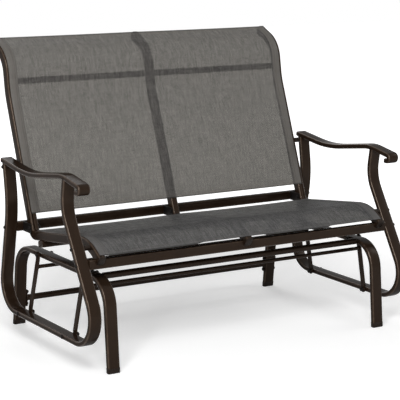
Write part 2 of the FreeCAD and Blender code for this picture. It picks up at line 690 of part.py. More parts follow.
for node, things in nodes.items():
    solids = []
    for thing in things:
        shape = Part.getShape(thing)
        if not shape.isValid():
            raise RuntimeError("shape not valid: " + node)
        found = shape.Solids
        if not found:
            raise RuntimeError("no solid in: " + node)
        solids.extend(found)
    final = solids[0] if len(solids) == 1 else Part.makeCompound(solids)
    if final.Volume <= 0:
        raise RuntimeError("no volume in: " + node)
    whole.add(final.BoundBox)
    final.exportStep("parts/%s.step" % node)
    print(node, len(solids), round(final.Volume / 1000.0, 2))
print("box", [round(v, 2) for v in (whole.XMin, whole.XMax, whole.YMin, whole.YMax, whole.ZMin, whole.ZMax)])
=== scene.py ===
import math

import bmesh
import bpy
from mathutils import Matrix, Vector


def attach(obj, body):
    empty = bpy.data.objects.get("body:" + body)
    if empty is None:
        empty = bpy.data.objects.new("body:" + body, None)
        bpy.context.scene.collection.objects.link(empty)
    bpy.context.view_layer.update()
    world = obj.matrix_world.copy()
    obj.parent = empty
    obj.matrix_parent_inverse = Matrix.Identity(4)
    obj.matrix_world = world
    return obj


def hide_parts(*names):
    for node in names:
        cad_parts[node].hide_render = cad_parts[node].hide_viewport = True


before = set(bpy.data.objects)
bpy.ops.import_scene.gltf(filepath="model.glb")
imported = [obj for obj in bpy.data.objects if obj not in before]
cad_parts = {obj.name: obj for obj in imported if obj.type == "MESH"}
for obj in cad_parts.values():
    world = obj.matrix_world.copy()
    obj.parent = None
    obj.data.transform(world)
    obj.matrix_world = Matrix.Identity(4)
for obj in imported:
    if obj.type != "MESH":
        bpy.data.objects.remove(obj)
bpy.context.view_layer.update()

# Sizes in millimetres, as in the part. X is across the bench, Y runs from front to back, Z is up.
MM = 0.001
SHIFT = -66.55
TUBE = (40.0, 16.0, 5.0)
RAIL = (24.0, 30.0, 5.0)
BAR = (30.0, 20.0, 5.0)
STAY = (20.0, 14.0, 4.5)
ROUND_BAR = 10.0
TIE_BAR = 6.0
HOOP_X = 492.0
LOOP_X = 567.0
RAIL_X = 515.0
HOOP_INNER = HOOP_X - TUBE[0] / 2
HOOP_OUTER = HOOP_X + TUBE[0] / 2
LOOP_INNER = LOOP_X - TUBE[0] / 2
LOOP_OUTER = LOOP_X + TUBE[0] / 2
RAIL_INNER = RAIL_X - RAIL[0] / 2
RAIL_OUTER = RAIL_X + RAIL[0] / 2
PIVOT_TOP = 269.0
PIVOT_LOW = 89.0
PIVOTS = {"front": -147.0, "rear": 145.0}
SIDES = {"left": -1, "right": 1}
LINK_THICK = 5.0
BUSH_BORE = 4.05
BUSH_OUTER = 6.0
BUSH_RIM = 8.0
BUSH_FLANGE = 1.5
BUSH_GAP = 0.3
LINK_TOP_IN = HOOP_OUTER + BUSH_GAP + BUSH_FLANGE
LINK_LOW_IN = LOOP_INNER - BUSH_GAP - BUSH_FLANGE - LINK_THICK
# From a tube's side, over the bush and its link, to the far end of the bush
PIVOT_STACK = 2 * BUSH_GAP + 2 * BUSH_FLANGE + LINK_THICK

# One face of each bent tube, in a plane of constant X. A corner is (y, z, radius of the bend)
HOOP_LINE = [(-294.5, 6, 0), (-266.2, 276, 92), (315.1, 276, 92), (338, 6, 0)]
ARM_LINE = [
    (254.0, 564.0, 0), (85.0, 542.5, 500), (-140.0, 576.5, 170),
    (-254.0, 557.5, 17.4), (-250.5, 526.2, 17.4), (-226.0, 525.2, 0),
]
LOOP_LINE = [
    (-163.0, 565.0, 0), (-149.3, 473.6, 115), (-392.1, 80.0, 93),
    (288.4, 80.0, 95), (226.2, 414.5, 340), (248.6, 552.0, 0),
]
SEAT_LINE = [
    (-264.0, 345.0, 0), (-190.0, 392.0, 150), (158.0, 344.5, 10),
    (318.0, 752.0, 200), (340.0, 874.5, 104), (436.0, 917.0, 0),
]
# Bars and bolts along X: (y, z)
FRONT_CROSS = (-188.0, 268.2)
REAR_CROSS = (323.2, 85.3)
BACK_BAR = (231.0, 347.0)
FRONT_BAR = (-236.0, 320.0)
TOP_TIE = (241.0, 537.0)
FRONT_TIE = (-207.5, 364.0)
SADDLE_BOLT = (173.0, 351.0)
UPPER_BAR = (336.5, 788.0)
UPPER_BAR_TILT = 10.0
REAR_BAR_Y = 112.0
REAR_BAR_DROP = 40.0
TIE_HIGH = 231.0
CRANK_HIGH = 256.0
CRANK_LOW = 102.0
GROOVE_X = 518.4
GROOVE_HALF = 1.6
GROOVE_DEEP = 9.0
FLANGE = (20.0, 56.0, 4.0)
FLANGE_THICK = 3.0
SADDLE_THICK = 3.0


def spot(x, y, z):
    """A point of the part, from millimetres to metres in the shared frame."""
    return Vector((x, y + SHIFT, z)) * MM


# Paths in a plane of constant X
def offset_corners(corners, distance):
    """Moves a bent line sideways, to the left of its direction of travel."""
    lines = []
    for a, b in zip(corners[:-1], corners[1:]):
        along = Vector((b[0] - a[0], b[1] - a[1])).normalized()
        side = Vector((-along.y, along.x))
        lines.append((Vector(a[:2]) + side * distance, along, side))
    moved = [lines[0][0]]
    for (p, d, _), (q, e, _) in zip(lines[:-1], lines[1:]):
        k = (q - p).cross(e) / d.cross(e)
        moved.append(p + d * k)
    moved.append(Vector(corners[-1][:2]) + lines[-1][2] * distance)
    result = []
    for i, point in enumerate(moved):
        radius = corners[i][2]
        if 0 < i < len(moved) - 1:
            turn = lines[i - 1][1].cross(lines[i][1])
            radius = radius - distance if turn > 0 else radius + distance
        result.append((point.x, point.y, radius))
    return result


def trace(corners, step=4.0, reach=1000.0):
    """Points on a bent line with true arcs: (place, direction, length so far)."""
    places = []

    def put(place, heading):
        if not places or (place - places[-1][0]).length > 0.01:
            far = (places[-1][2] + (place - places[-1][0]).length) if places else 0.0
            places.append((place.copy(), heading.copy(), far))

    def run(end, heading):
        start = places[-1][0].copy()
        count = max(1, math.ceil((end - start).length / reach))
        for k in range(1, count + 1):
            put(start.lerp(end, k / count), heading)

    points = [Vector(c[:2]) for c in corners]
    put(points[0], (points[1] - points[0]).normalized())
    for i in range(1, len(points) - 1):
        before = (points[i] - points[i - 1]).normalized()
        after = (points[i + 1] - points[i]).normalized()
        turn = math.atan2(before.cross(after), before.dot(after))
        radius = corners[i][2]
        tangent = radius * math.tan(abs(turn) / 2)
        start = points[i] - before * tangent
        run(start, before)
        side = Vector((-before.y, before.x)) * math.copysign(1, turn)
        centre = start + side * radius
        count = max(2, math.ceil(math.degrees(abs(turn)) / step))
        count = max(count, math.ceil(radius * abs(turn) / reach))
        for k in range(1, count + 1):
            spin = Matrix.Rotation(turn * k / count, 2)
            put(centre + spin @ (-side * radius), spin @ before)
    last = (points[-1] - points[-2]).normalized()
    run(points[-1], last)
    return places


class Shape:
    """Points and faces, with a value for how near each point lies to the middle of a corner, where the paint
    is lighter: partly rubbed thin, partly a painted highlight.
    """

    def __init__(self):
        self.points = []
        self.faces = []
        self.edge_wear_and_highlight = []

    def rings(self, rings, edge_wear_and_highlight=None, caps=True):
        """Joins closed rings of points into a skin, with or without a face at each end."""
        start = len(self.points)
        count = len(rings[0])
        for ring in rings:
            self.points.extend(ring)
            self.edge_wear_and_highlight.extend(edge_wear_and_highlight if edge_wear_and_highlight else [0.0] * count)
        for r in range(len(rings) - 1):
            for i in range(count):
                j = (i + 1) % count
                a = start + r * count
                self.faces.append((a + i, a + j, a + count + j, a + count + i))
        if caps:
            self.faces.append(tuple(start + i for i in reversed(range(count))))
            tail = start + (len(rings) - 1) * count
            self.faces.append(tuple(tail + i for i in range(count)))
        return self

    def add(self, other, matrix=None):
        start = len(self.points)
        self.points.extend([matrix @ p for p in other.points] if matrix else other.points)
        self.faces.extend(tuple(start + i for i in face) for face in other.faces)
        self.edge_wear_and_highlight.extend(other.edge_wear_and_highlight)
        return self


def section(wide, deep, radius, steps=6):
    """A rectangle with round corners: (across, up, edge wear and highlight)."""
    ring = []
    for cx, cy, first in ((1, -1, -90), (1, 1, 0), (-1, 1, 90), (-1, -1, 180)):
        for k in range(steps + 1):
            angle = math.radians(first + 90 * k / steps)
            ring.append((cx * (wide / 2 - radius) + radius * math.cos(angle),
                         cy * (deep / 2 - radius) + radius * math.sin(angle),
                         math.sin(math.pi * k / steps)))
    return ring


def swept(corners, x, ring, step, reach):
    """A section along a bent path. Its up side is to the left of the direction of travel."""
    shape = Shape()
    rings = []
    for place, heading, _ in trace(corners, step, reach):
        left = Vector((-heading.y, heading.x))
        rings.append([spot(x + u, place.x + left.x * v, place.y + left.y * v) for u, v, _ in ring])
    return shape.rings(rings, [w for _, _, w in ring])


def circle(radius, high, sides):
    """Points about Z at one height. The radius is one value, or a list with one for each point."""
    radii = radius if isinstance(radius, list) else [radius] * sides
    return [Vector((r * math.cos(2 * math.pi * k / sides), r * math.sin(2 * math.pi * k / sides), high)) * MM
            for k, r in enumerate(radii)]


def turned(profile, sides, caps=True):
    """A lathe shape about Z, from (radius, height) pairs in millimetres."""
    return Shape().rings([circle(radius, high, sides) for radius, high in profile], caps=caps)


def facing(x, y, z, direction):
    """Puts a shape's Z along X, outward or inward."""
    turn = Matrix.Rotation(math.radians(90 * direction), 4, "Y")
    return Matrix.Translation(spot(x, y, z)) @ turn


def rounded(points, radius, steps):
    """Rounds the inner corners of an open profile."""
    result = [points[0]]
    for a, b, c in zip(points[:-2], points[1:-1], points[2:]):
        pa, pb, pc = Vector(a), Vector(b), Vector(c)
        cut = min(radius, (pa - pb).length / 2, (pc - pb).length / 2)
        start = pb + (pa - pb).normalized() * cut
        end = pb + (pc - pb).normalized() * cut
        for k in range(steps + 1):
            t = k / steps
            p = start * (1 - t) ** 2 + pb * 2 * t * (1 - t) + end * t ** 2
            result.append((p.x, p.y))
    result.append(points[-1])
    return result


# Materials
def srgb(r, g, b):
    """A shader's colour from levels of 255."""
    def one(v):
        v = v / 255
        return v / 12.92 if v <= 0.04045 else ((v + 0.055) / 1.055) ** 2.4
    return (one(r), one(g), one(b), 1.0)


def times(colour, share):
    return tuple(v * share for v in colour[:3]) + (1,)


class Tree:
    """The nodes of a material or a world, with short calls to make them."""

    def __init__(self, owner):
        owner.use_nodes = True
        self.owner = owner
        self.nodes = owner.node_tree.nodes
        self.links = owner.node_tree.links
        self.shader = self.nodes.get("Principled BSDF")
        self.output = self.nodes.get("Material Output")

    def feed(self, socket, value):
        if isinstance(value, bpy.types.NodeSocket):
            self.links.new(value, socket)
        else:
            socket.default_value = value

    def node(self, kind, inputs=None, **settings):
        node = self.nodes.new(kind)
        for key, value in settings.items():
            setattr(node, key, value)
        for key, value in (inputs or {}).items():
            self.feed(node.inputs[key], value)
        return node

    def set(self, **values):
        for key, value in values.items():
            self.feed(self.shader.inputs[key.replace("_", " ")], value)

    def place(self):
        return self.node("ShaderNodeTexCoord").outputs["Object"]

    def attribute(self, name):
        return self.node("ShaderNodeAttribute", attribute_name=name).outputs["Fac"]

    def noise(self, vector, scale, detail=2.0, rough=0.5):
        made = self.node("ShaderNodeTexNoise", {"Vector": vector, "Scale": scale, "Detail": detail,
                                                "Roughness": rough})
        return made.outputs["Fac"]

    def ramp(self, value, stops):
        made = self.node("ShaderNodeValToRGB", {"Fac": value})
        elements = made.color_ramp.elements
        while len(elements) < len(stops):
            elements.new(0.5)
        for element, (at, colour) in zip(elements, stops):
            element.position = at
            element.color = colour if hasattr(colour, "__len__") else (colour, colour, colour, 1)
        return made.outputs["Color"]

    def shine(self, stops):
        """A specular level that falls as the surface is seen at a glance."""
        return self.ramp(self.node("ShaderNodeLayerWeight", {"Blend": 0.5}).outputs["Facing"], stops)

    def mix(self, factor, a, b):
        made = self.node("ShaderNodeMix", {0: factor, 6: a, 7: b}, data_type="RGBA")
        return made.outputs[2]

    def math(self, how, *values):
        return self.node("ShaderNodeMath", dict(enumerate(values)), operation=how).outputs[0]

    def weigh(self, a, a_share, b, b_share):
        return self.math("ADD", self.math("MULTIPLY", a, a_share), self.math("MULTIPLY", b, b_share))

    def bump(self, height, strength, distance, normal=None):
        inputs = {"Height": height, "Strength": strength, "Distance": distance}
        if normal:
            inputs["Normal"] = normal
        return self.node("ShaderNodeBump", inputs).outputs["Normal"]

    def seen(self):
        """1 for what the camera sees, straight, mirrored or through glass."""
        path = self.node("ShaderNodeLightPath")
        either = self.math("MAXIMUM", path.outputs["Is Camera Ray"], path.outputs["Is Glossy Ray"])
        return self.math("MAXIMUM", either, path.outputs["Is Transmission Ray"])


# Specular level by Layer Weight's facing
PAINT_SHINE = [(0.22, 0.125), (0.5, 0.042), (0.73, 0.009)]
BLACK_SHINE = [(0.22, 0.14), (0.7, 0.02)]
CLOTH_SHINE = [(0.3, 0.2), (0.75, 0.03)]
PAINT_TINT = (1.0, 0.82, 0.68, 1.0)
BLACK_TINT = (1.0, 0.88, 0.8, 1.0)
# How much of the lighter edge colour is mixed in: paint rubbed thin and a painted highlight
RUB_AND_HIGHLIGHT = 0.32
EDGE_POLISH = 0.3


def paint(name, base, worn_and_highlight, rough):
    """Powder coat: orange peel, faint cloudiness, and a lighter colour along the edges that is partly paint
    rubbed thin and partly a painted highlight.
    """
    tree = Tree(bpy.data.materials.new(name))
    at = tree.place()
    edge = tree.attribute("edge_wear_and_highlight")
    rub_breakup = tree.noise(at, 75.0, 5.0, 0.65)
    # Lighter paint on the corners, broken up by noise: partly wear, partly a painted highlight
    rub_and_highlight = tree.math("MULTIPLY", edge, tree.ramp(rub_breakup, [(0.45, 0.25), (0.72, 1.0)]))
    cloud = tree.ramp(tree.noise(at, 14.0, 3.0), [(0.35, times(base, 0.9)), (0.65, times(base, 1.1))])
    polish = tree.math("MULTIPLY", tree.math("POWER", edge, 2.0), EDGE_POLISH)
    tree.set(Base_Color=tree.mix(tree.math("MULTIPLY", rub_and_highlight, RUB_AND_HIGHLIGHT), cloud, worn_and_highlight),
             Specular_IOR_Level=tree.math("ADD", tree.shine(PAINT_SHINE), polish),
             Specular_Tint=PAINT_TINT,
             Roughness=tree.ramp(tree.noise(at, 60.0, 3.0), [(0.3, rough - 0.03), (0.7, rough + 0.04)]))
    peel = tree.bump(tree.noise(at, 260.0), 0.1, 0.0002)
    tree.set(Normal=tree.bump(tree.noise(at, 900.0), 0.15, 0.0001, peel))
    return tree.owner


def hard_black(name, base, rough, grain, metal=0.0):
    """Black hardware or moulded plastic: faint cloudiness and a fine grain."""
    tree = Tree(bpy.data.materials.new(name))
    at = tree.place()
    cloud = tree.ramp(tree.noise(at, 120.0, 3.0), [(0.35, base), (0.7, times(base, 1.5))])
    tree.set(Base_Color=cloud, Metallic=metal,
             Specular_IOR_Level=tree.shine(BLACK_SHINE), Specular_Tint=BLACK_TINT,
             Roughness=tree.ramp(tree.noise(at, 300.0), [(0.3, rough - 0.06), (0.7, rough + 0.08)]),
             Normal=tree.bump(tree.noise(at, grain), 0.3, 0.0001))
    return tree.owner


# The cloth's yarns stand this far apart in metres, with this share of it open
YARN = 0.0018
YARN_GAP = 0.44
# How clear one skin of the cloth is between its hems, and how much clearer in its openings
CLEAR = 0.17
CLEARER = 0.36
WARM_TONE = srgb(112, 96, 90)
# Painted shade: a dark band where the cloth turns over at each end
FOLD_SHADE_TONE = srgb(34, 33, 32)
# Painted shade in the hollows of the weave, between the yarns' crowns
HOLLOW_SHADE_TONE = srgb(40, 39, 38)


def yarn_tone(tree, index, along, scale):
    """A tone for each yarn that wanders along its length, out of step with its neighbours."""
    start = tree.node("ShaderNodeTexWhiteNoise", {"W": index}, noise_dimensions="1D").outputs["Value"]
    run = tree.weigh(along, scale, start, 90.0)
    row = tree.math("MULTIPLY", index, 7.31)
    at = tree.node("ShaderNodeCombineXYZ", {"X": row, "Y": run}).outputs["Vector"]
    return tree.noise(at, 1.0, 1.0, 0.6)


def sling_cloth(name, tones, clear, hem_tone, warmth, long, shaded_folds):
    """A plain weave of coated slub yarn, read from the sheet's own width and length in metres."""
    tree = Tree(bpy.data.materials.new(name))
    uv = tree.node("ShaderNodeUVMap", uv_map="cloth").outputs["UV"]
    parts = tree.node("ShaderNodeSeparateXYZ", {"Vector": uv})
    wide, far = parts.outputs["X"], parts.outputs["Y"]
    u = tree.math("MULTIPLY", wide, 1 / YARN)
    v = tree.math("MULTIPLY", far, 1 / YARN)
    fu = tree.math("PINGPONG", u, 0.5)
    fv = tree.math("PINGPONG", v, 0.5)
    hole = tree.math("MULTIPLY", tree.math("LESS_THAN", fu, YARN_GAP / 2),
                     tree.math("LESS_THAN", fv, YARN_GAP / 2))
    hem = tree.attribute("hem")
    plain_part = tree.math("LESS_THAN", hem, 0.5)
    open_part = tree.math("MULTIPLY", hole, plain_part)
    warp = tree.math("FLOOR", tree.math("ADD", u, 0.5))
    weft = tree.math("FLOOR", tree.math("ADD", v, 0.5))
    over = tree.math("PINGPONG", tree.math("ADD", warp, weft), 1.0)
    crown = tree.math("ADD", tree.math("MULTIPLY", over, fu),
                      tree.math("MULTIPLY", tree.math("SUBTRACT", 1.0, over), fv))
    # Each yarn has its own tone, and so has each group of about two
    fine = tree.weigh(yarn_tone(tree, warp, far, 60.0), 0.6, yarn_tone(tree, weft, wide, 60.0), 0.4)
    down = tree.math("FLOOR", tree.math("MULTIPLY", u, 0.52))
    across = tree.math("FLOOR", tree.math("MULTIPLY", v, 0.46))
    group = tree.weigh(yarn_tone(tree, down, far, 24.0), 0.66, yarn_tone(tree, across, wide, 24.0), 0.34)
    both = tree.weigh(fine, 0.2, group, 0.8)
    colour = tree.ramp(both, [(0.38, tones[0]), (0.5, tones[1]), (0.62, tones[2])])
    colour = tree.mix(tree.math("MULTIPLY", tree.noise(uv, 7.0, 2.0), warmth), colour, WARM_TONE)
    colour = tree.mix(tree.math("MULTIPLY", hem, 0.7), colour, hem_tone)
    # Painted shade along each end of the sheet, where the cloth turns over
    fold_shade = tree.math("ADD", tree.math("LESS_THAN", far, shaded_folds[0]),
                     tree.math("GREATER_THAN", far, long - shaded_folds[1]))
    colour = tree.mix(tree.math("MULTIPLY", fold_shade, 0.75), colour, FOLD_SHADE_TONE)
    # Painted shade: the weave's low parts between the crowns are darkened
    low = tree.math("SUBTRACT", 1.0, tree.math("MULTIPLY", crown, 2.0))
    colour = tree.mix(tree.math("MULTIPLY", low, 0.25), colour, HOLLOW_SHADE_TONE)
    tree.set(Base_Color=colour, Specular_IOR_Level=tree.shine(CLOTH_SHINE),
             Sheen_Weight=0.02, Sheen_Roughness=0.5,
             Roughness=tree.ramp(both, [(0.3, 0.62), (0.7, 0.5)]), Normal=tree.bump(crown, 0.25, 0.0003))
    window = tree.node("ShaderNodeBsdfTransparent", {"Color": (1.0, 0.98, 0.93, 1.0)})
    share = tree.weigh(open_part, CLEARER * clear, plain_part, CLEAR * clear)
    mixed = tree.node("ShaderNodeMixShader", {0: share, 1: tree.shader.outputs[0], 2: window.outputs[0]})
    tree.feed(tree.output.inputs["Surface"], mixed.outputs[0])
    return tree.owner


# A finish is a material and the name of its slot
# The brown coat's lighter second colour is paint rubbed thin at the edges and a painted highlight
BROWN = (paint("brown_powder_coat", srgb(35, 25, 18), srgb(112, 92, 76), 0.2), "brown_paint")
HARDWARE = (hard_black("black_hardware", srgb(19, 18, 18), 0.38, 700.0, 0.3), "black_hardware")
PLASTIC = (hard_black("black_plastic", srgb(26, 20, 16), 0.3, 1500.0), "black_plastic")
BRACKET = (hard_black("black_bracket", srgb(21, 19, 18), 0.45, 500.0), "black_bracket")
SPLINE = (hard_black("spline_plastic", srgb(60, 58, 56), 0.5, 1200.0), "spline_plastic")
THREAD = (hard_black("seam_thread", srgb(54, 51, 48), 0.7, 2500.0), None)


def make(name, shape, finish, body, nodes=(), sharp=32.0):
    """A named object of a shape, which rides on a body and replaces the nodes that it dresses."""
    material, slot = finish
    mesh = bpy.data.meshes.new(name)
    mesh.from_pydata([tuple(p) for p in shape.points], [], shape.faces)
    mesh.update()
    work = bmesh.new()
    work.from_mesh(mesh)
    bmesh.ops.recalc_face_normals(work, faces=work.faces)
    work.to_mesh(mesh)
    work.free()
    layer = mesh.attributes.new("edge_wear_and_highlight", "FLOAT", "POINT")
    layer.data.foreach_set("value", shape.edge_wear_and_highlight)
    mesh.polygons.foreach_set("use_smooth", [True] * len(mesh.polygons))
    mesh.set_sharp_from_angle(angle=math.radians(sharp))
    mesh.materials.append(material)
    item = bpy.data.objects.new(name, mesh)
    bpy.context.scene.collection.objects.link(item)
    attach(item, body)
    if nodes:
        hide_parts(*nodes)
    return item


def bead(places, radius):
    """A weld round a joint: a thin uneven roll along a closed line of places."""
    sides = 8
    count = len(places)
    rings = []
    middle = sum(places, Vector()) / count
    for i, place in enumerate(places):
        along = (places[(i + 1) % count] - places[i - 1]).normalized()
        out = place - middle
        out = (out - along * out.dot(along)).normalized()
        other = along.cross(out)
        size = radius * (1 + 0.12 * math.sin(i * 2.1) + 0.06 * math.sin(i * 5.3)) * MM
        rings.append([place + (out * math.cos(2 * math.pi * k / sides)
                               + other * math.sin(2 * math.pi * k / sides)) * size for k in range(sides)])
    rings.append(rings[0])
    return Shape().rings(rings, caps=False)


def collar(x, y, z, radius, size, count):
    """A weld bead round a round bar."""
    angles = [2 * math.pi * k / count for k in range(count)]
    return bead([spot(x, y + radius * math.cos(a), z + radius * math.sin(a)) for a in angles], size)


def tube_end_bead(x, line):
    """A weld bead round the end of a flat tube, where the line starts."""
    (y, z, _), (next_y, next_z, _) = line[:2]
    along = Vector((next_y - y, next_z - z)).normalized()
    left = Vector((-along.y, along.x))
    return bead([spot(x + u, y + left.x * v, z + left.y * v) for u, v, _ in section(*TUBE)], 1.9)


# Base
FEET = {"front": (-287.0, 5.98), "rear": (330.4, -4.85)}
CAP_WALLS = 1.2
CAP_CORNER = 5.6
# A foot cap from its sole up, over its lip and in: (height, how far it stands out)
CAP_PROFILE = [(0.0, -1.4), (0.6, -0.5), (1.6, 0.0), (12.6, 0.0), (13.2, 0.5), (14.6, 0.5), (15.4, 0.1),
               (15.85, -0.5), (15.9, -1.2), (14.5, -1.3)]


def foot_cap(x, end):
    """A cap with a rounded sole and a lip, along the lean of its leg."""
    y, lean = FEET[end]
    slope = math.tan(math.radians(lean))
    rings = []
    for high, grow in CAP_PROFILE:
        wide, deep = TUBE[0] + CAP_WALLS + 2 * grow, TUBE[1] + CAP_WALLS + 2 * grow
        rings.append([spot(x + u, y + high * slope + v, high)
                      for u, v, _ in section(wide, deep, CAP_CORNER + grow, 5)])
    return Shape().rings(rings)


hoop_path = offset_corners(HOOP_LINE, -TUBE[1] / 2)
feet = Shape()
for side, sign in SIDES.items():
    hoop = swept(hoop_path, sign * HOOP_X, section(*TUBE), 3.0, 120.0)
    make("hoop_tube_" + side, hoop, BROWN, "base", ["base_hoop_" + side])
    for end in ("front", "rear"):
        feet.add(foot_cap(sign * HOOP_X, end))
make("foot_cap_set", feet, PLASTIC, "base", ["foot_caps"])


def round_bar(radius, half, y, z):
    """A round bar along X with eased ends."""
    profile = [(radius - 0.6, -half), (radius, -half + 0.6), (radius, half - 0.6), (radius - 0.6, half)]
    return Shape().add(turned(profile, 40), facing(0, y, z, 1))


def flange(sign):
    """The plate at one end of the rear crossbar, with eased edges."""
    y, z = REAR_CROSS
    rings = []
    for away, grow in ((0.0, -0.5), (0.5, 0.0), (FLANGE_THICK - 0.5, 0.0), (FLANGE_THICK, -0.5)):
        rings.append([spot(sign * (HOOP_INNER - FLANGE_THICK + away), y + u * (1 + grow / (FLANGE[0] / 2)),
                           z + v * (1 + grow / (FLANGE[1] / 2))) for u, v, _ in section(*FLANGE, 5)])
    return Shape().rings(rings)


front_bar = round_bar(ROUND_BAR, HOOP_INNER, *FRONT_CROSS)
make("front_cross_tube", front_bar, BROWN, "base", ["base_front_crossbar"])

rear_bar = round_bar(ROUND_BAR, HOOP_INNER - 2.0, *REAR_CROSS)
for sign in SIDES.values():
    rear_bar.add(flange(sign))
    rear_bar.add(collar(sign * (HOOP_INNER - FLANGE_THICK - 0.4), *REAR_CROSS, ROUND_BAR + 0.2, 1.7, 36))
make("rear_cross_tube", rear_bar, BROWN, "base", ["base_rear_crossbar"])


# Fasteners
THREAD_LONG = 9.0
THREAD_PITCH = 1.0
THREAD_DEEP = 0.4
HEAD_RIM = 1.45
DOME_SHARE = 0.86
NUT_SIDES = 36


def bolt_shape(shank, length, head, high):
    """A domed head with a washer face below the origin, and a shank with thread at its end, along Z."""
    r = head / 2
    dome = [(r - 0.25, 0.0), (r, -0.25), (r, -1.0), (r - 0.2, -1.3), (r * DOME_SHARE, -HEAD_RIM)]
    for k in range(1, 8):
        angle = math.radians(90 * k / 8)
        dome.append((r * DOME_SHARE * math.cos(angle), -HEAD_RIM - (high - HEAD_RIM) * math.sin(angle)))
    dome.append((0.4, -high))
    at = length - THREAD_LONG
    body = [(shank / 2, -0.1), (shank / 2, at)]
    while at < length - 1.2:
        body.append((shank / 2 - THREAD_DEEP, at + 0.3))
        body.append((shank / 2, at + 0.6))
        at += THREAD_PITCH
    body += [(shank / 2 - 0.1, length - 0.5), (shank / 2 - 0.7, length)]
    return turned(list(reversed(dome)), 32).add(turned(body, 20))


def nut_shape(across, bore, high):
    """A hexagon nut with turned-down corners, along Z."""
    flat = across / 2
    turns = [(360 * k / NUT_SIDES + 30) % 60 - 30 for k in range(NUT_SIDES)]
    hexagon = [flat / math.cos(math.radians(turn)) for turn in turns]
    corner = flat / math.cos(math.radians(30))
    levels = [(0.0, flat * 0.95), (0.35, flat * 0.95 + 0.6), (0.8, corner)]
    levels += [(high - at, most) for at, most in reversed(levels)]
    rings = [circle([min(r, most) for r in hexagon], at, NUT_SIDES) for at, most in levels]
    for at, r in ((high, bore / 2 + 0.5), (high - 0.5, bore / 2), (0.5, bore / 2), (0.0, bore / 2 + 0.5)):
        rings.append(circle(r, at, NUT_SIDES))
    rings.append(rings[0])
    return Shape().rings(rings, caps=False)


def frame_bolt(length):
    return bolt_shape(6.0, length, 12.0, 4.5)


def each_side(x, points):
    """Places on both sides of the bench: (x, y, z, side)."""
    return [(s * x, y, z, s) for s in SIDES.values() for y, z in points]


# The rails, each with the side of it where its saddle bolt's head is
SADDLES = {"left": (-RAIL_X, -1), "centre": (0.0, 1), "right": (RAIL_X, 1)}
SADDLE_HALF = RAIL[0] / 2 + SADDLE_THICK
TOP_PIVOTS = [(y, PIVOT_TOP) for y in PIVOTS.values()]
LOW_PIVOTS = [(y, PIVOT_LOW) for y in PIVOTS.values()]
FLANGE_SPOTS = [(REAR_CROSS[0] - 1.7, REAR_CROSS[1] + 20.0), (REAR_CROSS[0] + 1.7, REAR_CROSS[1] - 20.0)]
pivot_bolt = bolt_shape(8.0, TUBE[0] + PIVOT_STACK + 8.5, 14.0, 5.0)
pivot_nut = nut_shape(13.0, 8.0, 6.5)
frame_nut = nut_shape(10.0, 6.0, 5.0)
bar_bolt = frame_bolt(TUBE[0] + 12.0)
for kind, shape, body, places in (
        ("upper_pivot_bolt", pivot_bolt, "base", each_side(HOOP_OUTER + PIVOT_STACK, TOP_PIVOTS)),
        ("upper_pivot_nut", pivot_nut, "base", each_side(HOOP_INNER, TOP_PIVOTS)),
        ("lower_pivot_bolt", pivot_bolt, "seat_frame", each_side(LOOP_OUTER, LOW_PIVOTS)),
        ("lower_pivot_nut", pivot_nut, "seat_frame", each_side(LOOP_INNER - PIVOT_STACK, LOW_PIVOTS)),
        ("bar_bolt", bar_bolt, "seat_frame", each_side(LOOP_OUTER, [BACK_BAR, FRONT_BAR])),
        ("front_spacer_bolt", frame_bolt(LOOP_OUTER - RAIL_INNER + 7.0), "seat_frame",
         each_side(LOOP_OUTER, [FRONT_TIE])),
        ("top_spacer_bolt", frame_bolt(LOOP_OUTER - RAIL_OUTER + 5.5), "seat_frame",
         each_side(LOOP_OUTER, [TOP_TIE])),
        ("spacer_nut", frame_nut, "seat_frame", each_side(RAIL_INNER, [FRONT_TIE])),
        ("saddle_bolt", frame_bolt(37.0), "seat_frame",
         [(x + s * SADDLE_HALF, *SADDLE_BOLT, s) for x, s in SADDLES.values()]),
        ("saddle_nut", frame_nut, "seat_frame",
         [(x - s * SADDLE_HALF, *SADDLE_BOLT, s) for x, s in SADDLES.values()]),
        ("rear_cross_bolt", frame_bolt(TUBE[0] + 10.0), "base", each_side(HOOP_OUTER, FLANGE_SPOTS)),
        ("rear_cross_nut", frame_nut, "base", each_side(HOOP_INNER - FLANGE_THICK, FLANGE_SPOTS)),
        ("front_cross_bolt", bar_bolt, "base", each_side(HOOP_OUTER, [FRONT_CROSS]))):
    gathered = Shape()
    for x, y, z, s in places:
        gathered.add(shape, facing(x, y, z, -s))
    make(kind + "_set", gathered, HARDWARE, body, [kind + "s"])


